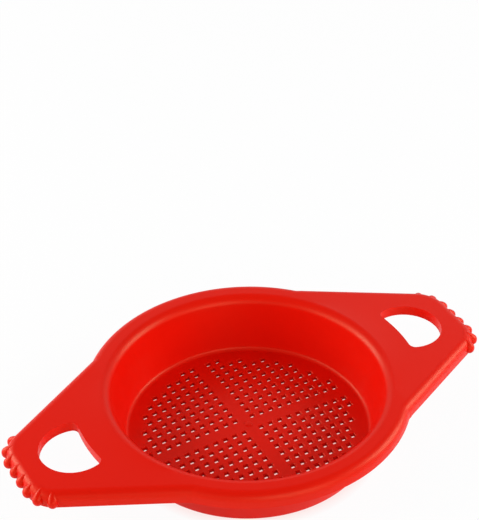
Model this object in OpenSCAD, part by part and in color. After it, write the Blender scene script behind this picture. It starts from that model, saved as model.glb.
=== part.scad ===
// Toy sand sieve: a round shallow pan with a square-hole floor, a rolled rim,
// and two wing handles with finger holes and grip nubs along their ends.
// Lengths are in millimetres. The pan's axis is Z, the wings lie along X,
// and the sieve rests on Z = 0.

/* [Pan] */
// Inside radius of the wall where it meets the floor
pan_floor_r = 80.8; // [60:0.1:100]
// Lean of the wall from upright, in degrees
wall_draft = 12.5; // [6:0.5:18]
// Height of the rim and wing tops above the resting plane
plate_top_z = 42.5; // [34:0.5:52]
// Height of the floor's underside above the resting plane
floor_lift = 1.1; // [1:0.1:3]
// Width of the foot ring that lifts the floor
foot_ring_w = 4; // [3:0.5:5]
// Thickness of the pan's wall
pan_wall_t = 2; // [1.4:0.1:2.6]
// Radius of the blend between the wall and the floor
floor_fillet_r = 3; // [1.5:0.5:4]
// Radius of the rounded foot, outside
foot_round_r = 1.5; // [1:0.1:2]

/* [Rim] */
// Radius of the rolled edge between the wall and the flat flange
roll_r = 6.5; // [5:0.5:8]
// Width of the flange, from the rolled edge to its outer face
flange_w = 11.5; // [8:0.5:16]
// Thickness of the flange, wings and skirts
shell_t = 2; // [1.4:0.1:2.6]
// Radius of the rounded outer edge of the flange and wings
edge_r = 6; // [4:0.5:6.5]
// Height from the flange's top to the skirt's foot
skirt_h = 10; // [7.5:0.5:12]

/* [Sieve floor] */
// Thickness of the floor
floor_t = 2.8; // [2:0.1:3]
// Rise of the floor's middle above its edge
crown_h = 2.6; // [0.5:0.1:5]
// Distance between hole centres
hole_pitch = 7; // [6:0.25:9]
// Side of a square hole
hole_side = 3.5; // [2:0.1:4.5]
// Distance between the innermost holes' centres, across a bar of the cross
bar_gap = 12.6; // [10:0.2:16]
// Width of the plain border between the perforated disc and the wall
border_w = 6.3; // [4:0.1:12]
// Least web between a hole's corner and the perforated disc's edge
rim_web = 1.3; // [0.5:0.1:4]

/* [Wings] */
// Distance from the flange's circle to a wing's end face
wing_reach = 55.2; // [50:0.1:70]
// Depth that the line of a wing's straight side passes inside the flange's circle
wing_side_in = 5.4; // [2:0.1:10]
// Angle between a wing's side and the X axis, in degrees
wing_taper = 28.7; // [24:0.1:30]
// Radius of a wing's end corners
wing_corner_r = 19.5; // [10:0.5:24]
// Fall of a wing towards its end, in degrees
wing_droop = 2.8; // [1:0.1:6]

/* [Finger holes] */
// Distance from the flange's circle to a finger hole's pan side
finger_gap = 7.8; // [6:0.1:12]
// Width of the grip bar between a finger hole and the wing's end face
grip_w = 16.3; // [12:0.1:22]
// Radius of a finger hole's round side
finger_r = 22.7; // [18:0.1:24]
// Radius of a finger hole's corners
finger_corner_r = 4.5; // [2:0.5:6]
// Depth of the collar below the wing's top
collar_h = 7; // [4:0.5:8.5]
// Thickness of the collar
collar_t = 1.8; // [1.2:0.1:2.5]

/* [Grip nubs] */
// Number of nubs along a wing's end
nub_count = 8; // [4:2:8]
// Distance between nubs along the edge
nub_pitch = 10; // [8:0.5:10.5]
// Radius of a nub's round lower end
nub_r = 3.4; // [2.5:0.1:3.6]
// How far a nub stands out from the skirt
nub_proud = 3.3; // [2.5:0.1:4.5]
// Radius of a nub's upper tip
nub_tip_r = 0.6; // [0.4:0.1:1]
// Lean of the rounded edge where a nub's tip lies on it, in degrees from the top
nub_tip_lean = 39; // [10:1:50]

/* [Gate mark] */
// Radius of the moulding gate's mark at the floor's centre
gate_r = 2.4; // [1.5:0.1:2.8]
// Height of the gate's mark
gate_h = 0.4; // [0.2:0.1:1]

/* [Hidden] */

// Overrun of the cutting shapes
over = 1;
// Facets of the large, the small and the nubs' curves
big_fn = 180;
small_fn = 64;
nub_fn = 16;
// Facets of a wing's corner discs and of the rounding along them
corner_fn = 48;
round_fn = 24;
// Steps along the crown's arc and along an outline's arc
crown_steps = 10;
arc_steps = 12;
// Flat land that a wing's edge piece keeps inside its rounding
edge_land = 0.5;
// Colour of the moulding
moulding_red = [0.85, 0.12, 0.07];

// Height of the floor's upper side at its edge
floor_top_z = floor_lift + floor_t;
// The wall's line, from the floor to where it meets the roll
roll_z = plate_top_z - roll_r;
wall_top_z = roll_z + roll_r * sin(wall_draft);
wall_top_r = pan_floor_r + (wall_top_z - floor_top_z) * tan(wall_draft);
// Radius at which the roll ends and the flat flange starts
roll_c_r = wall_top_r + roll_r * cos(wall_draft);
flange_r = roll_c_r + flange_w;
wall_slope_t = pan_wall_t / cos(wall_draft);
skirt_foot_z = plate_top_z - skirt_h;
// Radius of the perforated disc, and the reach of its hole centres
mesh_r = pan_floor_r - border_w;
hole_reach = mesh_r - rim_web - hole_side / sqrt(2);
// Half the width of a bar of the cross, up to the middle of the web beside it
bar_half = bar_gap / 2 - hole_side / 2 - (hole_pitch - hole_side) / 4;
// Number of holes that could fit from a bar outwards
hole_rows = floor((hole_reach - bar_gap / 2) / hole_pitch) + 1;
// Distances from the pan's axis to a wing's end face and to its straight side
wing_end_x = flange_r + wing_reach;
wing_side_d = flange_r - wing_side_in;
// Angle from the X axis at which a wing's side meets the flange's circle
wing_angle = 90 - wing_taper - acos(wing_side_d / flange_r);
wing_root_x = flange_r * cos(wing_angle);
// Centre of a wing's end corner
corner_x = wing_end_x - wing_corner_r;
corner_y = (wing_side_d - wing_corner_r - corner_x * sin(wing_taper)) / cos(wing_taper);
// Where the side's line of corner centres meets the Y axis
hidden_corner_y = (wing_side_d - wing_corner_r) / cos(wing_taper);
// A finger hole's pan side is an arc about the pan's axis, its other side a circle
finger_inner_r = flange_r + finger_gap;
finger_x = wing_end_x - grip_w - finger_r;
// Centre of a finger hole's corner, where the two sides meet
fc_out = finger_r - finger_corner_r;
fc_in = finger_inner_r + finger_corner_r;
fc_x = (fc_in * fc_in - fc_out * fc_out + finger_x * finger_x) / (2 * finger_x);
fc_y = sqrt(fc_in * fc_in - fc_x * fc_x);
fc_start = atan2(fc_y, fc_x - finger_x);
fc_end = 180 + atan2(fc_y, fc_x);

// Height of the floor's top at a distance from the axis
function crown_z(r) = floor_top_z + crown_h * (1 - pow(r / pan_floor_r, 2));
// Points of an arc, from one angle to another
function arc(cx, cy, r, a0, a1, n) =
    [for (i = [0 : n]) let (a = a0 + (a1 - a0) * i / n) [cx + r * cos(a), cy + r * sin(a)]];
// One half of a wing's outline, drawn in from its edge by inset
function wing_half(inset) = concat(
    [[0, (wing_side_d - inset) / cos(wing_taper)]],
    arc(corner_x, corner_y, wing_corner_r - inset, 90 - wing_taper, 0, arc_steps));
// A finger hole's outline, let out by grow
function finger_points(grow) = concat(
    arc(finger_x, 0, finger_r + grow, -fc_start, fc_start, 3 * arc_steps),
    arc(fc_x, fc_y, finger_corner_r + grow, fc_start, fc_end, arc_steps),
    arc(0, 0, finger_inner_r - grow, fc_end - 180, 180 - fc_end, arc_steps),
    arc(fc_x, -fc_y, finger_corner_r + grow, 360 - fc_end, 360 - fc_start, arc_steps));
function flip(points) = [for (i = [len(points) - 1 : -1 : 0]) [points[i][0], -points[i][1]]];

// Place and direction of nub number i, counted from the middle of a wing's end
function nub_run(i) = (i - (nub_count - 1) / 2) * nub_pitch;
function nub_turn(s) =
    let (bend = (abs(s) - corner_y) / wing_corner_r * 180 / PI)
    sign(s) * max(0, min(bend, 90 - wing_taper));
function nub_place(s) =
    abs(s) <= corner_y
    ? [wing_end_x, s]
    : let (a = nub_turn(s), past = abs(s) - corner_y - abs(a) * PI / 180 * wing_corner_r)
      [corner_x + wing_corner_r * cos(a) - past * sin(abs(a)),
       sign(s) * corner_y + wing_corner_r * sin(a) + sign(s) * past * cos(a)];

// Tips a level piece of a wing down about the line through the wing's two roots
module drooped() {
    translate([wing_root_x, 0, plate_top_z])
        rotate([0, wing_droop, 0])
            translate([-wing_root_x, 0, -plate_top_z])
                children();
}

// Turns the right wing's pieces round to the left
module on_side(side) {
    rotate([0, 0, side == "left" ? 180 : 0])
        children();
}

// The place that a wing fills: a wedge about +X, outside the rolled edge
module wing_place() {
    reach = wing_end_x + nub_proud;
    difference() {
        linear_extrude(plate_top_z + skirt_h)
            polygon([
                [0, 0],
                [reach, -reach * tan(wing_angle)],
                [reach, reach * tan(wing_angle)]
            ]);
        translate([0, 0, -over])
            cylinder(r = roll_c_r, h = plate_top_z + skirt_h + 2 * over, $fn = big_fn);
    }
}

// The flat face of a wing, drawn in from its edge by inset
module wing_outline(inset) {
    half = wing_half(inset);
    polygon(concat(half, flip(half)));
}

// A level slab with a wing's outline, drawn in by inset, and a rounded upper edge.
// It is stretched over a round disc in each corner, two of them inside the pan
module rounded_slab(inset, low_z, top_z) {
    hull()
        for (x = [0, corner_x], side = [-1, 1])
            translate([x, side * (x == 0 ? hidden_corner_y : corner_y), 0])
                rotate_extrude($fn = corner_fn)
                    rounded_half(wing_corner_r - inset, edge_r - inset, low_z, top_z);
}

// Half section of a disc with a rounded upper edge, as far as its hull needs it
module rounded_half(disc_r, round_r, low_z, top_z) {
    translate([0, low_z])
        square([disc_r, top_z - round_r - low_z]);
    translate([disc_r - round_r, top_z - round_r])
        intersection() {
            circle(round_r, $fn = round_fn);
            square(round_r);
        }
}

// A level wing without its hollow, as far as its outer faces reach
module wing_solid() {
    rounded_slab(0, skirt_foot_z, plate_top_z);
}

// Section of the pan's wall
module wall_section() {
    polygon([
        [pan_floor_r, floor_top_z],
        [pan_floor_r + wall_slope_t, floor_top_z],
        [wall_top_r + pan_wall_t * cos(wall_draft), wall_top_z - pan_wall_t * sin(wall_draft)],
        [wall_top_r, wall_top_z]
    ]);
}

// Foot ring that the pan rests on, with the floor's plain border
module base_ring() {
    color(moulding_red) {
        rotate_extrude($fn = big_fn)
            foot_section();
        rotate_extrude($fn = big_fn)
            fillet_section();
    }
}

// Section of the floor's border, with its outer lower edge rounded
module foot_section() {
    foot_r = pan_floor_r + wall_slope_t;
    difference() {
        polygon([
            [mesh_r, floor_lift],
            [foot_r - foot_ring_w, floor_lift],
            [foot_r - foot_ring_w, 0],
            [foot_r, 0],
            [foot_r, floor_top_z],
            [pan_floor_r, floor_top_z],
            [mesh_r, crown_z(mesh_r)]
        ]);
        difference() {
            translate([foot_r - foot_round_r, -over])
                square(foot_round_r + over);
            translate([foot_r - foot_round_r, foot_round_r])
                circle(foot_round_r, $fn = small_fn);
        }
    }
}

// Section of the blend between the floor and the wall, inside: its circle
// touches the floor and the leaning wall
module fillet_section() {
    reach = floor_fillet_r * tan((90 - wall_draft) / 2);
    difference() {
        polygon([
            [pan_floor_r, floor_top_z],
            [pan_floor_r + reach * sin(wall_draft), floor_top_z + reach * cos(wall_draft)],
            [pan_floor_r - reach, floor_top_z]
        ]);
        translate([pan_floor_r - reach, floor_top_z + floor_fillet_r])
            circle(floor_fillet_r, $fn = small_fn);
    }
}

// Leaning wall of the pan
module pan_wall() {
    color(moulding_red)
        rotate_extrude($fn = big_fn)
            wall_section();
}

// Rolled edge that carries the wall over into the flange
module rim_roll() {
    reach = roll_r + over;
    color(moulding_red)
        rotate_extrude($fn = big_fn)
            intersection() {
                difference() {
                    translate([roll_c_r, roll_z])
                        circle(roll_r, $fn = small_fn);
                    translate([roll_c_r, roll_z])
                        circle(roll_r - shell_t, $fn = small_fn);
                }
                translate([roll_c_r, roll_z])
                    polygon([
                        [0, 0],
                        [-reach * cos(wall_draft), reach * sin(wall_draft)],
                        [-reach, reach],
                        [0, reach]
                    ]);
            }
}

// An arc of the rim between the wings, from one wing's wedge to the other's
module rim_arc(side) {
    rotate([0, 0, side == "front" ? 180 + wing_angle : wing_angle])
        rotate_extrude(angle = 180 - 2 * wing_angle, $fn = big_fn)
            children();
}

// Flat part of the flange
module flange_section() {
    translate([roll_c_r, plate_top_z - shell_t])
        square([flange_r - edge_r - roll_c_r, shell_t]);
}

// Rounded outer edge of the flange and the skirt under it
module skirt_section() {
    translate([flange_r - shell_t, skirt_foot_z])
        square([shell_t, skirt_h - edge_r]);
    translate([flange_r - edge_r, plate_top_z - edge_r])
        intersection() {
            difference() {
                circle(edge_r, $fn = small_fn);
                circle(edge_r - shell_t, $fn = small_fn);
            }
            square(edge_r + over);
        }
}

module front_flange() {
    color(moulding_red)
        rim_arc("front")
            flange_section();
}

module back_flange() {
    color(moulding_red)
        rim_arc("back")
            flange_section();
}

module front_skirt() {
    color(moulding_red)
        rim_arc("front")
            skirt_section();
}

module back_skirt() {
    color(moulding_red)
        rim_arc("back")
            skirt_section();
}

// The crowned floor as a shell, before it is cut into pieces
module crowned_shell() {
    top = [for (i = [0 : crown_steps]) let (r = mesh_r * i / crown_steps) [r, crown_z(r)]];
    low = [for (i = [crown_steps : -1 : 0]) let (r = mesh_r * i / crown_steps) [r, crown_z(r) - floor_t]];
    rotate_extrude($fn = big_fn)
        polygon(concat(top, low));
}

// Plain cross between the four perforated quarters
module floor_cross() {
    color(moulding_red)
        intersection() {
            crowned_shell();
            linear_extrude(floor_top_z + crown_h + over)
                union() {
                    square([2 * (mesh_r + over), 2 * bar_half], center = true);
                    square([2 * bar_half, 2 * (mesh_r + over)], center = true);
                }
        }
}

// A quarter of the floor with its square holes, turned to its place
module mesh_quarter(turn) {
    color(moulding_red)
        intersection() {
            crowned_shell();
            rotate([0, 0, turn])
                linear_extrude(floor_top_z + crown_h + over)
                    quarter_outline();
        }
}

module quarter_outline() {
    difference() {
        translate([bar_half, bar_half])
            square(mesh_r);
        for (i = [0 : hole_rows - 1], j = [0 : hole_rows - 1]) {
            x = bar_gap / 2 + i * hole_pitch;
            y = bar_gap / 2 + j * hole_pitch;
            if (norm([x, y]) <= hole_reach)
                translate([x, y])
                    square(hole_side, center = true);
        }
    }
}

// Mark that the moulding gate leaves at the middle of the floor
module gate_mark() {
    color(moulding_red)
        translate([0, 0, crown_z(0)])
            cylinder(r = gate_r, h = gate_h, $fn = small_fn);
}

// Flat part of a wing, with the place of its finger collar left open
module wing_plate(side) {
    color(moulding_red)
        on_side(side)
            intersection() {
                drooped()
                    translate([0, 0, plate_top_z - shell_t])
                        linear_extrude(shell_t)
                            difference() {
                                wing_outline(edge_r + edge_land);
                                polygon(finger_points(collar_t));
                            }
                wing_place();
            }
}

// Rounded edge of a wing and the skirt under it
module wing_skirt(side) {
    color(moulding_red)
        on_side(side)
            intersection() {
                drooped()
                    difference() {
                        wing_solid();
                        rounded_slab(shell_t, skirt_foot_z - over, plate_top_z - shell_t);
                        translate([0, 0, skirt_foot_z])
                            linear_extrude(skirt_h + over)
                                wing_outline(edge_r + edge_land);
                    }
                wing_place();
            }
}

// Wall around a finger hole, flush with the wing's top
module finger_collar(side) {
    color(moulding_red)
        on_side(side)
            drooped()
                translate([0, 0, plate_top_z - collar_h])
                    linear_extrude(collar_h)
                        difference() {
                            polygon(finger_points(collar_t));
                            polygon(finger_points(0));
                        }
}

// One teardrop nub at the edge of a level wing, at the origin and facing +X
module nub() {
    tip_in = edge_r - nub_tip_r;
    hull() {
        translate([tip_in * sin(nub_tip_lean) - edge_r, 0, plate_top_z - edge_r + tip_in * cos(nub_tip_lean)])
            sphere(nub_tip_r, $fn = nub_fn);
        translate([nub_proud - nub_r, 0, skirt_foot_z + nub_r])
            sphere(nub_r, $fn = nub_fn);
    }
}

// The nubs along a wing's end
module grip_nubs(side) {
    color(moulding_red)
        on_side(side)
            drooped()
                difference() {
                    for (i = [0 : nub_count - 1]) {
                        run = nub_run(i);
                        place = nub_place(run);
                        translate([place[0], place[1], 0])
                            rotate([0, 0, nub_turn(run)])
                                nub();
                    }
                    wing_solid();
                }
}

base_ring();
pan_wall();
rim_roll();
front_flange();
back_flange();
front_skirt();
back_skirt();
floor_cross();
gate_mark();
mesh_quarter(180);  // mesh_front_left
mesh_quarter(270);  // mesh_front_right
mesh_quarter(90);  // mesh_back_left
mesh_quarter(0);  // mesh_back_right
wing_plate("left");  // left_wing_plate
wing_plate("right");  // right_wing_plate
wing_skirt("left");  // left_wing_skirt
wing_skirt("right");  // right_wing_skirt
finger_collar("left");  // left_finger_collar
finger_collar("right");  // right_finger_collar
grip_nubs("left");  // left_grip_nubs
grip_nubs("right");  // right_grip_nubs
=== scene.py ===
from math import atan2, cos, hypot, pi, radians, sin, sqrt, tan

import bmesh
import bpy
from mathutils import Matrix, Vector


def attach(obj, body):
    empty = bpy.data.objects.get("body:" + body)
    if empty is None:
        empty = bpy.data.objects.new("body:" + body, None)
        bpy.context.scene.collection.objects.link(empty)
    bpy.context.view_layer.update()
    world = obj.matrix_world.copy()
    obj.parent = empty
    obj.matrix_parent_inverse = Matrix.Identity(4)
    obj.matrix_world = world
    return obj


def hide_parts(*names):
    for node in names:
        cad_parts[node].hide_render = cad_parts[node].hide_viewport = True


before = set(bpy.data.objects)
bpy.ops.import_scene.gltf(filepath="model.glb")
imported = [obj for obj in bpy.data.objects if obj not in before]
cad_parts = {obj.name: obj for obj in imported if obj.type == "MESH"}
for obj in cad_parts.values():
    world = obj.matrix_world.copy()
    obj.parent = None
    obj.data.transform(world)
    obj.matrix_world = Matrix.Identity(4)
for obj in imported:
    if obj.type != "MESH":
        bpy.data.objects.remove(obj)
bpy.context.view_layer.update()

MM = 0.001

# Pan
PAN_R = 80.8
WALL_DRAFT = radians(12.5)
TOP_Z = 42.5
FLOOR_LIFT = 1.1
FOOT_RING_W = 4.0
WALL_T = 2.0
FILLET_R = 3.0
FOOT_R = 1.5
WALL_LOW_Z = 9.0
WALL_HIGH_Z = 35.5
# Rim
ROLL_R = 6.5
FLANGE_W = 11.5
SHELL_T = 2.0
EDGE_R = 6.0
SKIRT_H = 10.0
LAND = 0.5
ROOT_BLEND_R = 4.0
SEAM_IN = radians(1.6)
# Sieve floor
FLOOR_T = 2.8
CROWN_H = 2.6
HOLE_PITCH = 7.0
HOLE_SIDE = 3.5
BAR_GAP = 12.6
MESH_R = 74.5
RIM_WEB = 1.3
HOLE_EDGE = 0.2
HOLE_TAPER = 0.1
# Wings
WING_REACH = 55.2
SIDE_IN = 5.4
TAPER = radians(28.7)
CORNER_R = 19.5
DROOP = tan(radians(2.87))
DROOP_START = 0.1
DROOP_SHARPNESS = 4
RING_END_R = 108.0
# Finger holes
FINGER_GAP = 7.8
GRIP_W = 16.3
FINGER_R = 22.7
FINGER_CORNER_R = 4.5
COLLAR_H = 7.0
COLLAR_T = 1.8
COLLAR_EDGE_R = 0.8
# Grip nubs
NUB_COUNT = 8
NUB_PITCH = 10.0
NUB_R = 3.4
NUB_PROUD = 3.13
NUB_TIP_R = 1.3
NUB_TIP_ANGLE = radians(80)
NUB_TIP_FADE = 2.4
NUB_BALLS = 8
# Gate mark
GATE_R = 2.4
GATE_H = 0.4
# Facets
FULL_STEPS = 240
ARC_STEP = radians(1.5)
FOOT_SEGMENTS = 6
FILLET_SEGMENTS = 10
ROLL_SEGMENTS = 14
EDGE_SEGMENTS = 10
CORNER_SEGMENTS = 24
ROOT_SEGMENTS = 6
COLLAR_SEGMENTS = 6
FINGER_BOW_STEPS = 60
FINGER_TIP_STEPS = 16
FINGER_INNER_STEPS = 24
BALL_SEGMENTS = 24
BALL_RINGS = 16
GATE_STEPS = 48
GATE_SEGMENTS = 3
RING_ROWS = 8
DROOP_STEP = 3.0
SHARP_ANGLE = radians(32)
# Distances and an angle that count as none
CUT_DIST = 0.0005
MERGE_DIST = 0.002
NEAR = 0.02
NEAR_ANGLE = 1e-5

# Values that follow from the sizes
SLOPE = tan(WALL_DRAFT)
SLOPE_T = WALL_T / cos(WALL_DRAFT)
FLOOR_TOP_Z = FLOOR_LIFT + FLOOR_T
WALL_TOP_Z = TOP_Z - ROLL_R + ROLL_R * sin(WALL_DRAFT)
ROLL_END_R = PAN_R + (WALL_TOP_Z - FLOOR_TOP_Z) * SLOPE + ROLL_R * cos(WALL_DRAFT)
FLANGE_R = ROLL_END_R + FLANGE_W
FLAT_START_R = ROLL_END_R + LAND
SKIRT_FOOT_Z = TOP_Z - SKIRT_H
TOP_IN = EDGE_R + LAND
WING_END_X = FLANGE_R + WING_REACH
CORNER_X = WING_END_X - CORNER_R
SIDE_D = FLANGE_R - SIDE_IN
SIDE_OUT = Vector((sin(TAPER), cos(TAPER), 0))
SIDE_RUN = Vector((cos(TAPER), -sin(TAPER), 0))
ROOT = SIDE_OUT * SIDE_D + SIDE_RUN * sqrt(FLANGE_R**2 - SIDE_D**2)
ROOT_ANGLE = atan2(ROOT.y, ROOT.x)
SEAM_ANGLE = ROOT_ANGLE - SEAM_IN
DROOP_FROM_X = FLANGE_R * cos(SEAM_ANGLE)
FINGER_X = WING_END_X - GRIP_W - FINGER_R
TIP_OUT_R = FINGER_R - FINGER_CORNER_R
TIP_IN_R = FLANGE_R + FINGER_GAP + FINGER_CORNER_R
TIP_X = (TIP_IN_R**2 - TIP_OUT_R**2 + FINGER_X**2) / (2 * FINGER_X)
TIP_Y = sqrt(TIP_IN_R**2 - TIP_X**2)
TIP_START = atan2(TIP_Y, TIP_X - FINGER_X)
TIP_SWEEP = pi + atan2(TIP_Y, TIP_X) - TIP_START
CELL = HOLE_PITCH / 2
BAR_HALF = BAR_GAP / 2 - HOLE_SIDE / 2 - (HOLE_PITCH - HOLE_SIDE) / 4
CELLS = round((MESH_R - BAR_HALF) / CELL) + 1
GRID_START = BAR_GAP / 2 - HOLE_SIDE / 2 - CELL
HOLE_REACH = MESH_R - RIM_WEB - HOLE_SIDE / sqrt(2)
HOLE_MIDDLE_Z = FLOOR_TOP_Z - FLOOR_T / 2


# Surfaces


def wall_in(z):
    """Radius and height of the pan's inner wall at a height."""
    return PAN_R + (z - FLOOR_TOP_Z) * SLOPE, z


def wall_out(z):
    """Radius and height of the pan's outer wall at a height."""
    return wall_in(z)[0] + SLOPE_T, z


def side_y(x, inset):
    """Half of a wing's width at x, measured to a line that runs inside its side by the inset."""
    return (SIDE_D - inset - x * sin(TAPER)) / cos(TAPER)


def crown(x, y):
    """Rise of the floor above its edge."""
    return CROWN_H * (1 - (x * x + y * y) / PAN_R**2)


def droop(x, y):
    """Fall of a wing's surface: a flat slope, eased into the level rolled edge."""
    slope = DROOP * (abs(x) - DROOP_FROM_X)
    cone = DROOP_START * (hypot(x, y) - ROLL_END_R)
    if min(slope, cone) <= 0:
        return 0.0
    return (slope**-DROOP_SHARPNESS + cone**-DROOP_SHARPNESS) ** (-1 / DROOP_SHARPNESS)


# Ways of making a piece


def about_z(angle):
    """A turn about Z."""
    return Matrix.Rotation(angle, 3, "Z")


def flat_face(bm, points):
    """Makes a flat face with these corners, and gives its corner vertices in the same order."""
    corners = [bm.verts.new(p) for p in points]
    bm.faces.new(corners)
    return corners


def caps(bm):
    """The many-sided faces that close an outline, which the rounding never makes."""
    return [f for f in bm.faces if len(f.verts) > 8]


def round_corner(bm, corner, radius, segments):
    """Rounds a corner of a flat outline with an arc of this radius."""
    one, other = (edge.other_vert(corner).co - corner.co for edge in corner.link_edges)
    bmesh.ops.bevel(
        bm,
        geom=[corner],
        offset=radius / tan(one.angle(other) / 2),
        offset_type="OFFSET",
        segments=segments,
        profile=0.5,
        affect="VERTICES",
        material=-1,
    )


def round_edges(bm, edges, width, segments):
    """Rounds edges, or cuts a flat chamfer when there is one segment."""
    bmesh.ops.bevel(
        bm,
        geom=edges,
        offset=width,
        offset_type="OFFSET",
        segments=segments,
        profile=0.5,
        affect="EDGES",
        material=-1,
    )


def revolved(section, rounded):
    """A ring turned about Z from a section in radius and height, with some corners rounded.

    Each entry of rounded gives a corner's place in the section, its radius and its segments.
    """
    bm = bmesh.new()
    corners = flat_face(bm, [(r, 0, z) for r, z in section])
    for index, radius, segments in rounded:
        round_corner(bm, corners[index], radius, segments)
    bmesh.ops.delete(bm, geom=bm.faces[:], context="FACES_ONLY")
    bmesh.ops.spin(
        bm,
        geom=bm.verts[:] + bm.edges[:],
        cent=(0, 0, 0),
        axis=(0, 0, 1),
        angle=2 * pi,
        steps=FULL_STEPS,
        use_merge=True,
    )
    return bm


def spin_on(bm, start, centre, angle, steps):
    """Draws an arc of edges on from a vertex, about a centre, and gives its last vertex."""
    made = bmesh.ops.spin(
        bm, geom=[start], cent=centre, axis=(0, 0, 1), angle=angle, steps=steps
    )
    return [v for v in made["geom_last"] if isinstance(v, bmesh.types.BMVert)][0]


def arc_edges(bm, radius, start, end, z):
    """Draws an arc of edges about Z between two angles, and gives its first and last vertex."""
    first = bm.verts.new((radius * cos(start), radius * sin(start), z))
    steps = max(2, round(abs(end - start) / ARC_STEP))
    return first, spin_on(bm, first, (0, 0, 0), end - start, steps)


def cut(bm, point, normal, clear=False):
    """Cuts everything with a plane, and clears the side that the normal points to if asked."""
    bmesh.ops.bisect_plane(
        bm,
        geom=bm.verts[:] + bm.edges[:] + bm.faces[:],
        dist=CUT_DIST,
        plane_co=point,
        plane_no=normal,
        clear_outer=clear,
    )


def keep_sector(bm, middle, half_width):
    """Keeps the sector about Z within half_width of the middle direction."""
    for side in (-1, 1):
        normal = about_z(middle + side * (half_width + pi / 2)) @ Vector((1, 0, 0))
        cut(bm, (0, 0, 0), normal, clear=True)


def face_up(bm):
    """Makes a sheet's faces agree, with the highest level one looking up."""
    bmesh.ops.recalc_face_normals(bm, faces=bm.faces[:])
    level = max(bm.faces, key=lambda f: f.calc_center_median().z + abs(f.normal.z))
    if level.normal.z < 0:
        bmesh.ops.reverse_faces(bm, faces=bm.faces[:])


def draw_out(bm, face, rise):
    """Extrudes a level face straight up, or down for a negative rise, and gives the new face."""
    made = bmesh.ops.extrude_face_region(bm, geom=[face])
    end = [g for g in made["geom"] if isinstance(g, bmesh.types.BMFace)][0]
    bmesh.ops.translate(bm, verts=end.verts[:], vec=(0, 0, rise))
    return end


def thicken_down(bm, depth):
    """Gives a level sheet its thickness, straight down."""
    made = bmesh.ops.extrude_face_region(bm, geom=bm.faces[:], use_keep_orig=True)
    low = [v for v in made["geom"] if isinstance(v, bmesh.types.BMVert)]
    bmesh.ops.translate(bm, verts=low, vec=(0, 0, -depth))


def thicken_in(bm):
    """Gives a curved sheet the moulding's thickness, inwards."""
    bmesh.ops.recalc_face_normals(bm, faces=bm.faces[:])
    bmesh.ops.solidify(bm, geom=bm.faces[:], thickness=SHELL_T)


def raise_to_crown(bm):
    """Moves each vertex of a level floor piece up to the crowned floor."""
    for v in bm.verts:
        v.co.z += crown(v.co.x, v.co.y)


def cut_across(bm):
    """Cuts a wing's sheet across at steady steps, so that it can bend into its droop."""
    steps = round((WING_END_X - DROOP_FROM_X) / DROOP_STEP)
    for i in range(steps):
        cut(bm, (DROOP_FROM_X + i * DROOP_STEP, 0, 0), (1, 0, 0))


def bend_down(bm):
    """Bends a level piece of a wing into its droop, square to the drooping surface."""
    step = 0.5
    for v in bm.verts:
        x, y, z = v.co
        fall = droop(x, y)
        lean = Vector((droop(x + step, y) - fall, droop(x, y + step) - fall, 0)) / step
        v.co -= lean * (TOP_Z - z)
        v.co.z -= fall


def turned(bm, angle):
    """A copy of a piece, turned about Z."""
    copy = bm.copy()
    bmesh.ops.rotate(copy, verts=copy.verts[:], cent=(0, 0, 0), matrix=about_z(angle))
    return copy


def add_part(bm, part):
    """Moves all of a part into a piece."""
    mesh = bpy.data.meshes.new("part")
    part.to_mesh(mesh)
    part.free()
    bm.from_mesh(mesh)
    bpy.data.meshes.remove(mesh)


def finish_piece(bm, node, material):
    """Closes a piece's mesh, brings it to metres and puts it in the place of its CAD node."""
    bmesh.ops.remove_doubles(bm, verts=bm.verts[:], dist=MERGE_DIST)
    bmesh.ops.recalc_face_normals(bm, faces=bm.faces[:])
    bmesh.ops.scale(bm, verts=bm.verts[:], vec=(MM, MM, MM))
    mesh = bpy.data.meshes.new("moulded_" + node)
    bm.to_mesh(mesh)
    bm.free()
    mesh.shade_smooth()
    mesh.set_sharp_from_angle(angle=SHARP_ANGLE)
    mesh.materials.append(material)
    piece = bpy.data.objects.new("moulded_" + node, mesh)
    bpy.context.scene.collection.objects.link(piece)
    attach(piece, "root")
    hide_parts(node)


# Pan


def base_ring():
    """The foot ring, the floor's plain border and the fillet at the wall's foot."""
    foot_in_r = wall_out(FLOOR_TOP_Z)[0] - FOOT_RING_W
    return revolved(
        [
            (MESH_R, FLOOR_LIFT),
            (foot_in_r, FLOOR_LIFT),
            (foot_in_r, 0),
            wall_out(0),
            wall_out(WALL_LOW_Z),
            wall_in(WALL_LOW_Z),
            (PAN_R, FLOOR_TOP_Z),
            (MESH_R, FLOOR_TOP_Z + crown(MESH_R, 0)),
        ],
        [(3, FOOT_R, FOOT_SEGMENTS), (6, FILLET_R, FILLET_SEGMENTS)],
    )


def pan_wall():
    """The straight part of the leaning wall."""
    return revolved(
        [
            wall_in(WALL_LOW_Z),
            wall_out(WALL_LOW_Z),
            wall_out(WALL_HIGH_Z),
            wall_in(WALL_HIGH_Z),
        ],
        [],
    )


def rim_roll():
    """The rolled edge that carries the wall over into the flat rim."""
    low_z = TOP_Z - SHELL_T
    return revolved(
        [
            wall_in(WALL_HIGH_Z),
            wall_out(WALL_HIGH_Z),
            wall_out(low_z),
            (FLAT_START_R, low_z),
            (FLAT_START_R, TOP_Z),
            wall_in(TOP_Z),
        ],
        [(2, ROLL_R - SHELL_T, ROLL_SEGMENTS), (5, ROLL_R, ROLL_SEGMENTS)],
    )


# Rim


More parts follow.
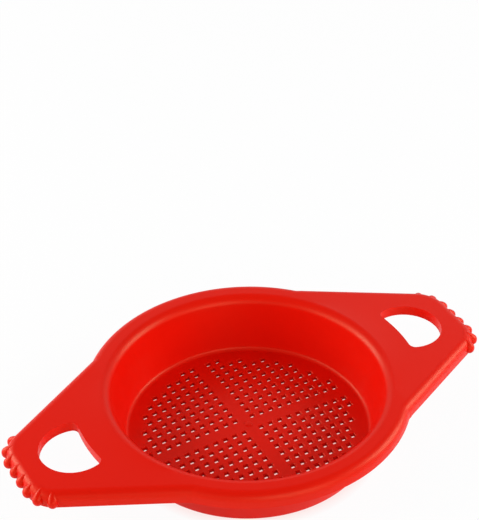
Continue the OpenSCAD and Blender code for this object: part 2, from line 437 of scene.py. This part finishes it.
def edge_sheet():
    """Outer face of the whole edge, round the rim and both wings.

    It is the skirt, its rounding and a narrow land on the flat top.
    """
    bm = bmesh.new()
    back = arc_edges(bm, FLANGE_R, ROOT_ANGLE, pi - ROOT_ANGLE, SKIRT_FOOT_Z)
    front = arc_edges(bm, FLANGE_R, pi + ROOT_ANGLE, 2 * pi - ROOT_ANGLE, SKIRT_FOOT_Z)
    end_y = side_y(WING_END_X, 0)
    ends = [
        bm.verts.new((x * WING_END_X, y * end_y, SKIRT_FOOT_Z))
        for x, y in ((-1, 1), (-1, -1), (1, -1), (1, 1))
    ]
    for pair in (
        (back[1], ends[0]),
        (ends[0], ends[1]),
        (ends[1], front[0]),
        (front[1], ends[2]),
        (ends[2], ends[3]),
        (ends[3], back[0]),
    ):
        bm.edges.new(pair)
    bmesh.ops.contextual_create(bm, geom=bm.edges[:])
    for corner in ends:
        round_corner(bm, corner, CORNER_R, CORNER_SEGMENTS)
    for corner in back + front:
        round_corner(bm, corner, ROOT_BLEND_R, ROOT_SEGMENTS)
    top = draw_out(bm, caps(bm)[0], SKIRT_H)
    round_edges(bm, top.edges[:], EDGE_R, EDGE_SEGMENTS)
    top = max(caps(bm), key=lambda f: f.calc_center_median().z)
    bmesh.ops.inset_region(bm, faces=[top], thickness=LAND, use_even_offset=True)
    bmesh.ops.delete(bm, geom=caps(bm), context="FACES_ONLY")
    return bm


def across_land(edge):
    """True for the short edge that a sector's cut makes across the land."""
    radii = [hypot(v.co.x, v.co.y) for v in edge.verts]
    angles = [atan2(v.co.y, v.co.x) for v in edge.verts]
    return abs(angles[0] - angles[1]) < NEAR_ANGLE and abs(radii[0] - radii[1]) > LAND / 2


def inner_line(sheet, middle, half_width):
    """The edge sheet's inner line in one sector, as a bmesh of edges on the flat top."""
    bm = sheet.copy()
    keep_sector(bm, middle, half_width)
    inner = [
        e
        for e in bm.edges
        if e.is_boundary
        and all(abs(v.co.z - TOP_Z) < NEAR for v in e.verts)
        and not across_land(e)
    ]
    others = [v for v in bm.verts if not any(e in inner for e in v.link_edges)]
    bmesh.ops.delete(bm, geom=others, context="VERTS")
    bmesh.ops.delete(bm, geom=bm.faces[:], context="FACES_ONLY")
    return bm


def rim_flange(sheet, middle):
    """The flat rim between the wings, from the rolled edge to the edge sheet's land."""
    half = pi / 2 - SEAM_ANGLE
    bm = inner_line(sheet, middle, half)
    arc_edges(bm, FLAT_START_R, middle - half, middle + half, TOP_Z)
    bmesh.ops.bridge_loops(bm, edges=[e for e in bm.edges if e.is_wire or e.is_boundary])
    bmesh.ops.recalc_face_normals(bm, faces=bm.faces[:])
    thicken_down(bm, SHELL_T)
    return bm


def rim_skirt(sheet, middle):
    """The rounded edge and skirt of the rim between the wings."""
    bm = sheet.copy()
    keep_sector(bm, middle, pi / 2 - SEAM_ANGLE)
    thicken_in(bm)
    return bm


# Wings


def wing_skirt(sheet):
    """The rounded edge and skirt of one wing."""
    bm = sheet.copy()
    keep_sector(bm, 0, SEAM_ANGLE)
    cut_across(bm)
    thicken_in(bm)
    bend_down(bm)
    return bm


def ring_strip(bm):
    """Level strip of a wing's plate next to the rolled edge, where the droop starts.

    A line of edges is drawn straight out from the rolled edge, and then swept about Z.
    """
    start = bm.verts.new((FLAT_START_R, 0, TOP_Z))
    bmesh.ops.spin(
        bm,
        geom=[start],
        cent=(0, 0, 0),
        axis=(0, 0, 1),
        dvec=((RING_END_R - FLAT_START_R) / RING_ROWS, 0, 0),
        angle=0,
        steps=RING_ROWS,
    )
    bmesh.ops.rotate(bm, verts=bm.verts[:], cent=(0, 0, 0), matrix=about_z(-SEAM_ANGLE))
    bmesh.ops.spin(
        bm,
        geom=bm.verts[:] + bm.edges[:],
        cent=(0, 0, 0),
        axis=(0, 0, 1),
        angle=2 * SEAM_ANGLE,
        steps=round(2 * SEAM_ANGLE / ARC_STEP),
    )
    for side in (-1, 1):
        normal = Vector((SIDE_OUT.x, side * SIDE_OUT.y, 0))
        cut(bm, normal * (SIDE_D - TOP_IN), normal, clear=True)


def finger_outline(bm, grow):
    """A finger hole's outline on the level top, let out by grow: the new edges."""
    before = set(bm.edges)
    reach = FINGER_R + grow
    first = bm.verts.new(
        (FINGER_X + reach * cos(TIP_START), -reach * sin(TIP_START), TOP_Z)
    )
    last = first
    for centre, angle, steps in (
        ((FINGER_X, 0, TOP_Z), 2 * TIP_START, FINGER_BOW_STEPS),
        ((TIP_X, TIP_Y, TOP_Z), TIP_SWEEP, FINGER_TIP_STEPS),
        ((0, 0, TOP_Z), -2 * atan2(TIP_Y, TIP_X), FINGER_INNER_STEPS),
        ((TIP_X, -TIP_Y, TOP_Z), TIP_SWEEP, FINGER_TIP_STEPS),
    ):
        last = spin_on(bm, last, centre, angle, steps)
    bmesh.ops.pointmerge(bm, verts=[first, last], merge_co=first.co)
    return [e for e in bm.edges if e not in before]


def wing_plate():
    """The flat top of one wing, with its finger hole."""
    bm = bmesh.new()
    ring_strip(bm)
    arc = [
        e
        for e in bm.edges
        if all(hypot(v.co.x, v.co.y) > RING_END_R - NEAR for v in e.verts)
    ]
    ends = {v for e in arc for v in e.verts if sum(e in arc for e in v.link_edges) == 1}
    low, high = sorted(ends, key=lambda v: v.co.y)
    x = WING_END_X - TOP_IN
    y = side_y(x, TOP_IN)
    corners = [bm.verts.new((x, -y, TOP_Z)), bm.verts.new((x, y, TOP_Z))]
    sides = [
        bm.edges.new(pair)
        for pair in ((low, corners[0]), (corners[0], corners[1]), (corners[1], high))
    ]
    bmesh.ops.contextual_create(bm, geom=arc + sides)
    for corner in corners:
        round_corner(bm, corner, CORNER_R - TOP_IN, CORNER_SEGMENTS)
    outer = max(bm.faces, key=lambda f: len(f.verts))
    outline = outer.edges[:]
    bmesh.ops.delete(bm, geom=[outer], context="FACES_ONLY")
    outline += finger_outline(bm, COLLAR_T)
    bmesh.ops.triangle_fill(bm, use_beauty=True, edges=outline, normal=(0, 0, 1))
    cut_across(bm)
    face_up(bm)
    thicken_down(bm, SHELL_T)
    bend_down(bm)
    return bm


def finger_collar():
    """The wall round a finger hole, with its rounded top edge."""
    bm = bmesh.new()
    outline = finger_outline(bm, COLLAR_T)
    hole = bmesh.ops.contextual_create(bm, geom=outline)["faces"][0]
    bmesh.ops.inset_region(bm, faces=[hole], thickness=COLLAR_T, use_even_offset=True)
    rim = hole.edges[:]
    draw_out(bm, hole, -COLLAR_H)
    bmesh.ops.delete(bm, geom=caps(bm), context="FACES_ONLY")
    round_edges(bm, [e for e in rim if e.is_valid], COLLAR_EDGE_R, COLLAR_SEGMENTS)
    face_up(bm)
    bmesh.ops.solidify(bm, geom=bm.faces[:], thickness=COLLAR_T)
    bend_down(bm)
    return bm


def nub():
    """One teardrop nub that lies on a level wing's rounded edge.

    The skirt's outer face is at the origin there, and looks to +X.
    """
    bm = bmesh.new()
    balls = [(NUB_R, (NUB_PROUD - NUB_R, 0, SKIRT_FOOT_Z + NUB_R))]
    for i in range(NUB_BALLS):
        share = i / (NUB_BALLS - 1)
        radius = NUB_R + (NUB_TIP_R - NUB_R) * share
        proud = NUB_PROUD * (1 - share) ** NUB_TIP_FADE
        reach = EDGE_R + proud - radius
        angle = NUB_TIP_ANGLE * share
        place = (reach * cos(angle) - EDGE_R, 0, TOP_Z - EDGE_R + reach * sin(angle))
        balls.append((radius, place))
    for radius, place in balls:
        bmesh.ops.create_uvsphere(
            bm,
            u_segments=BALL_SEGMENTS,
            v_segments=BALL_RINGS,
            radius=radius,
            matrix=Matrix.Translation(place),
        )
    bmesh.ops.delete(bm, geom=bm.edges[:] + bm.faces[:], context="EDGES_FACES")
    bmesh.ops.convex_hull(bm, input=bm.verts[:], use_existing_faces=False)
    inside = [v for v in bm.verts if not v.link_faces]
    bmesh.ops.delete(bm, geom=inside, context="VERTS")
    return bm


def nub_place(run):
    """Turn and place of a nub, by its distance along the edge from the middle of the wing's end."""
    corner_y = side_y(CORNER_X, CORNER_R)
    past = abs(run) - corner_y
    lean = min(max(0.0, past / CORNER_R), pi / 2 - TAPER)
    straight = max(0.0, past - lean * CORNER_R)
    side = 1 if run > 0 else -1
    x = CORNER_X + CORNER_R * cos(lean) - straight * sin(lean)
    y = min(abs(run), corner_y) + CORNER_R * sin(lean) + straight * cos(lean)
    return side * lean, (x, side * y, 0)


def grip_nubs():
    """The row of nubs along one wing's end."""
    bm = bmesh.new()
    for i in range(NUB_COUNT):
        lean, place = nub_place((i - (NUB_COUNT - 1) / 2) * NUB_PITCH)
        one = nub()
        bmesh.ops.rotate(one, verts=one.verts[:], cent=(0, 0, 0), matrix=about_z(lean))
        bmesh.ops.translate(one, verts=one.verts[:], vec=place)
        add_part(bm, one)
    bend_down(bm)
    return bm


# Sieve floor


def trim_to_disc(bm, first, last):
    """Trims to the floor's disc, facet by facet, with the same facets as the ring round it."""
    facet = 2 * pi / FULL_STEPS
    for k in range(first, last):
        angle = (k + 0.5) * facet
        normal = Vector((cos(angle), sin(angle), 0))
        cut(bm, normal * MESH_R * cos(facet / 2), normal, clear=True)


def hole_rims(bm):
    """The sharp upper edges of a quarter's holes, without those of its own outline."""
    rims = []
    for e in bm.edges:
        low_z = min(v.co.z for v in e.verts)
        middle = (e.verts[0].co + e.verts[1].co) / 2
        inside = min(middle.xy) > BAR_HALF + NEAR and hypot(*middle.xy) < MESH_R - RIM_WEB / 2
        sharp = e.is_manifold and e.calc_face_angle() > SHARP_ANGLE
        if inside and sharp and low_z > HOLE_MIDDLE_Z:
            rims.append(e)
    return rims


def taper_holes(bm):
    """Draws a quarter's holes in at the floor's underside, as the mould's pins leave them."""
    for v in bm.verts:
        inside = min(v.co.xy) > BAR_HALF + NEAR and hypot(v.co.x, v.co.y) < HOLE_REACH + CELL
        if not inside or v.co.z > HOLE_MIDDLE_Z:
            continue
        for axis in (0, 1):
            line = round((v.co[axis] - GRID_START) / CELL)
            v.co[axis] += HOLE_TAPER if line % 2 else -HOLE_TAPER


def mesh_quarter():
    """The quarter between +X and +Y, from a grid whose cells are the holes and the webs."""
    bm = bmesh.new()
    half = CELLS * CELL / 2
    middle = GRID_START + half
    bmesh.ops.create_grid(bm, x_segments=CELLS, y_segments=CELLS, size=half)
    bmesh.ops.translate(bm, verts=bm.verts[:], vec=(middle, middle, FLOOR_TOP_Z))
    holes = []
    for f in bm.faces:
        x, y = f.calc_center_median().xy
        column, row = (round((c - GRID_START) / CELL - 0.5) for c in (x, y))
        if column % 2 and row % 2 and hypot(x, y) <= HOLE_REACH + NEAR:
            holes.append(f)
    bmesh.ops.delete(bm, geom=holes, context="FACES")
    cut(bm, (BAR_HALF, 0, 0), (-1, 0, 0), clear=True)
    cut(bm, (0, BAR_HALF, 0), (0, -1, 0), clear=True)
    trim_to_disc(bm, 0, FULL_STEPS // 4)
    face_up(bm)
    thicken_down(bm, FLOOR_T)
    round_edges(bm, hole_rims(bm), HOLE_EDGE, 1)
    taper_holes(bm)
    raise_to_crown(bm)
    return bm


def floor_cross():
    """The plain cross between the quarters: four arms and the square where they meet."""
    bm = bmesh.new()
    half = CELLS * CELL / 2
    for quarter in range(4):
        arm = bmesh.new()
        bmesh.ops.create_grid(arm, x_segments=CELLS, y_segments=1, size=1)
        bmesh.ops.scale(arm, verts=arm.verts[:], vec=(half, BAR_HALF, 1))
        bmesh.ops.translate(arm, verts=arm.verts[:], vec=(BAR_HALF + half, 0, FLOOR_TOP_Z))
        trim_to_disc(arm, -3, 3)
        turn = about_z(quarter * pi / 2)
        bmesh.ops.rotate(arm, verts=arm.verts[:], cent=(0, 0, 0), matrix=turn)
        add_part(bm, arm)
    corners = ((-1, -1), (1, -1), (1, 1), (-1, 1))
    flat_face(bm, [(x * BAR_HALF, y * BAR_HALF, FLOOR_TOP_Z) for x, y in corners])
    bmesh.ops.remove_doubles(bm, verts=bm.verts[:], dist=MERGE_DIST)
    face_up(bm)
    thicken_down(bm, FLOOR_T)
    raise_to_crown(bm)
    return bm


def gate_mark():
    """The low round mark that the mould's gate leaves on the crown."""
    bm = bmesh.new()
    bmesh.ops.create_cone(
        bm, cap_ends=True, segments=GATE_STEPS, radius1=GATE_R, radius2=GATE_R, depth=GATE_H
    )
    top = max(bm.faces, key=lambda f: f.calc_center_median().z)
    round_edges(bm, top.edges[:], GATE_H / 2, GATE_SEGMENTS)
    place = (0, 0, FLOOR_TOP_Z + CROWN_H + GATE_H / 2)
    bmesh.ops.translate(bm, verts=bm.verts[:], vec=place)
    return bm


# Finish


def srgb(code):
    """A hex colour as linear values."""
    parts = [int(code[i : i + 2], 16) / 255 for i in (1, 3, 5)]
    return [c / 12.92 if c <= 0.04045 else ((c + 0.055) / 1.055) ** 2.4 for c in parts] + [1]


def add_node(tree, kind, settings=None, inputs=None):
    """Adds a node with its settings; an input is a value or the socket that feeds it."""
    node = tree.nodes.new(kind)
    for name, value in (settings or {}).items():
        setattr(node, name, value)
    for name, value in (inputs or {}).items():
        if isinstance(value, bpy.types.NodeSocket):
            tree.links.new(value, node.inputs[name])
        else:
            node.inputs[name].default_value = value
    return node


def clear_tree(owner):
    """The empty node tree of a material or world."""
    owner.use_nodes = True
    owner.node_tree.nodes.clear()
    return owner.node_tree


def moulded_polypropylene():
    """Polypropylene from a polished mould: a clear red gloss with a faint waviness.

    Its colour drifts over 60 mm, its face waves over 14 mm and its gloss varies over 3 mm.
    """
    material = bpy.data.materials.new("moulded polypropylene")
    tree = clear_tree(material)
    place = add_node(tree, "ShaderNodeTexCoord").outputs["Object"]
    drift, wave, scuff = (
        add_node(
            tree,
            "ShaderNodeTexNoise",
            inputs={
                "Vector": place,
                "Scale": 1 / (size * MM),
                "Detail": detail,
                "Roughness": roughness,
            },
        ).outputs["Fac"]
        for size, detail, roughness in ((60, 2, 0.5), (14, 1, 0.5), (3, 4, 0.6))
    )
    colour = add_node(
        tree,
        "ShaderNodeMix",
        {"data_type": "RGBA"},
        {"Factor": drift, 6: srgb("#E40B00"), 7: srgb("#EA0E00")},
    )
    rough = add_node(
        tree, "ShaderNodeMapRange", inputs={"Value": scuff, "To Min": 0.34, "To Max": 0.38}
    )
    bump = add_node(
        tree,
        "ShaderNodeBump",
        inputs={"Strength": 0.3, "Distance": 0.02 * MM, "Height": wave},
    )
    shader = add_node(
        tree,
        "ShaderNodeBsdfPrincipled",
        inputs={
            "Base Color": colour.outputs[2],
            "Roughness": rough.outputs["Result"],
            "IOR": 1.49,
            "Specular IOR Level": 0.3,
            "Specular Tint": (1, 0.85, 0.42, 1),
            "Normal": bump.outputs["Normal"],
        },
    )
    add_node(tree, "ShaderNodeOutputMaterial", inputs={"Surface": shader.outputs["BSDF"]})
    return material


# Pieces

red = moulded_polypropylene()
whole_edge = edge_sheet()
right_wing = {
    "wing_plate": wing_plate(),
    "wing_skirt": wing_skirt(whole_edge),
    "finger_collar": finger_collar(),
    "grip_nubs": grip_nubs(),
}
for name, bm in right_wing.items():
    finish_piece(turned(bm, pi), "left_" + name, red)
    finish_piece(bm, "right_" + name, red)
for name, middle in (("front", -pi / 2), ("back", pi / 2)):
    finish_piece(rim_flange(whole_edge, middle), name + "_flange", red)
    finish_piece(rim_skirt(whole_edge, middle), name + "_skirt", red)
back_right = mesh_quarter()
for name, angle in (
    ("mesh_front_left", pi),
    ("mesh_front_right", 3 * pi / 2),
    ("mesh_back_left", pi / 2),
    ("mesh_back_right", 0),
):
    finish_piece(turned(back_right, angle), name, red)
finish_piece(floor_cross(), "floor_cross", red)
finish_piece(gate_mark(), "gate_mark", red)
finish_piece(base_ring(), "base_ring", red)
finish_piece(pan_wall(), "pan_wall", red)
finish_piece(rim_roll(), "rim_roll", red)

# Camera

CAMERA_PLACE = Vector((-412.23, -778.34, 785.75))
CAMERA_HEADING = radians(-27.665)
CAMERA_DIP = radians(36.241)
CAMERA_ROLL = radians(-1.098)

camera = bpy.data.objects.new("camera", bpy.data.cameras.new("camera"))
camera.data.sensor_width = 36
camera.data.lens = 123.34
camera.data.clip_start = 0.05
camera.data.clip_end = 20
camera.matrix_world = (
    Matrix.Translation(CAMERA_PLACE * MM)
    @ Matrix.Rotation(CAMERA_HEADING, 4, "Z")
    @ Matrix.Rotation(pi / 2 - CAMERA_DIP, 4, "X")
    @ Matrix.Rotation(CAMERA_ROLL, 4, "Z")
)
bpy.context.scene.collection.objects.link(camera)
bpy.context.scene.camera = camera
bpy.context.scene.view_settings.view_transform = "Standard"

# Floor and light

# Share of a pure white that the camera and the plastic's gloss see in the paper
PAPER_TO_CAMERA = 0.95
PAPER_TO_GLOSS = 0.3
# Distances from the pan's axis between which the paper's painted pink cast (painted red bounce
# light and shade from the pan) ends
PAINTED_CAST_NEAR = 70
PAINTED_CAST_FAR = 90
# Elevations in degrees that the surround's strength changes between, and its strength at them
SKY_RISE = (10, 22, 0.47, 0.93)
SKY_FADE = (28, 40, 1.0, 0.24)
# Metres
FLOOR_RADIUS = 4
SOFTBOX_AWAY = 1.2


def studio_paper():
    """White paper: bright to the camera and in the plastic's gloss, and softly shaded.

    Below the pan the red plastic round it gives it a pink cast, painted into its colour as painted
    red bounce light and shade.
    """
    material = bpy.data.materials.new("studio paper")
    tree = clear_tree(material)
    path = add_node(tree, "ShaderNodeLightPath")
    place = add_node(tree, "ShaderNodeTexCoord").outputs["Object"]
    away = add_node(tree, "ShaderNodeVectorMath", {"operation": "LENGTH"}, {"Vector": place})
    past_painted_cast = add_node(
        tree,
        "ShaderNodeMapRange",
        inputs={
            "Value": away.outputs["Value"],
            "From Min": PAINTED_CAST_NEAR * MM,
            "From Max": PAINTED_CAST_FAR * MM,
        },
    )
    # Painted pink bounce light and shade under the pan, fading to plain white paper past it; the
    # camera and the gloss both see it
    colour = add_node(
        tree,
        "ShaderNodeMix",
        {"data_type": "RGBA"},
        {"Factor": past_painted_cast.outputs["Result"], 6: srgb("#FFCCC6"), 7: srgb("#FFFFFF")},
    )
    seen = add_node(
        tree,
        "ShaderNodeMath",
        {"operation": "MULTIPLY"},
        {0: path.outputs["Is Camera Ray"], 1: PAPER_TO_CAMERA},
    )
    share = add_node(
        tree,
        "ShaderNodeMath",
        {"operation": "MULTIPLY_ADD"},
        {0: path.outputs["Is Glossy Ray"], 1: PAPER_TO_GLOSS, 2: seen.outputs[0]},
    )
    paper = add_node(tree, "ShaderNodeBsdfDiffuse", inputs={"Color": srgb("#F8F8F8")})
    glow = add_node(
        tree, "ShaderNodeEmission", inputs={"Color": colour.outputs[2], "Strength": 1}
    )
    both = add_node(
        tree,
        "ShaderNodeMixShader",
        inputs={0: share.outputs[0], 1: paper.outputs["BSDF"], 2: glow.outputs[0]},
    )
    add_node(tree, "ShaderNodeOutputMaterial", inputs={"Surface": both.outputs[0]})
    return material


def lay_floor():
    """A round sheet of paper under the sieve."""
    bm = bmesh.new()
    bmesh.ops.create_circle(bm, cap_ends=True, segments=64, radius=FLOOR_RADIUS)
    mesh = bpy.data.meshes.new("floor")
    bm.to_mesh(mesh)
    bm.free()
    mesh.materials.append(studio_paper())
    floor = bpy.data.objects.new("floor", mesh)
    bpy.context.scene.collection.objects.link(floor)


def light_sky():
    """An even white surround, dim low down and overhead."""
    world = bpy.data.worlds.new("studio")
    bpy.context.scene.world = world
    tree = clear_tree(world)
    look = add_node(tree, "ShaderNodeTexCoord").outputs["Generated"]
    height = add_node(tree, "ShaderNodeSeparateXYZ", inputs={"Vector": look}).outputs["Z"]
    rise, fade = (
        add_node(
            tree,
            "ShaderNodeMapRange",
            {"interpolation_type": "SMOOTHSTEP"},
            {
                "Value": height,
                "From Min": sin(radians(low)),
                "From Max": sin(radians(high)),
                "To Min": low_strength,
                "To Max": high_strength,
            },
        ).outputs["Result"]
        for low, high, low_strength, high_strength in (SKY_RISE, SKY_FADE)
    )
    strength = add_node(
        tree, "ShaderNodeMath", {"operation": "MULTIPLY"}, {0: rise, 1: fade}
    )
    backdrop = add_node(
        tree,
        "ShaderNodeBackground",
        inputs={"Color": (1, 1, 1, 1), "Strength": strength.outputs[0]},
    )
    add_node(tree, "ShaderNodeOutputWorld", inputs={"Surface": backdrop.outputs[0]})


def softbox(name, towards, size, watts):
    """A square softbox that looks at the sieve from a direction, with its side in metres."""
    data = bpy.data.lights.new(name, "AREA")
    data.size = size
    data.energy = watts
    lamp = bpy.data.objects.new(name, data)
    lamp.location = Vector(towards).normalized() * SOFTBOX_AWAY
    lamp.rotation_euler = Vector(towards).to_track_quat("Z", "Y").to_euler()
    bpy.context.scene.collection.objects.link(lamp)


lay_floor()
light_sky()
softbox("left softbox", (-0.87, 0.2, 0.38), 0.6, 3.1)
softbox("back left softbox", (-0.6, 0.7, 0.36), 0.6, 6.8)
softbox("right softbox", (0.85, -0.3, 0.44), 0.6, 6.9)
softbox("front softbox", (0, -0.92, 0.38), 0.8, 3.7)
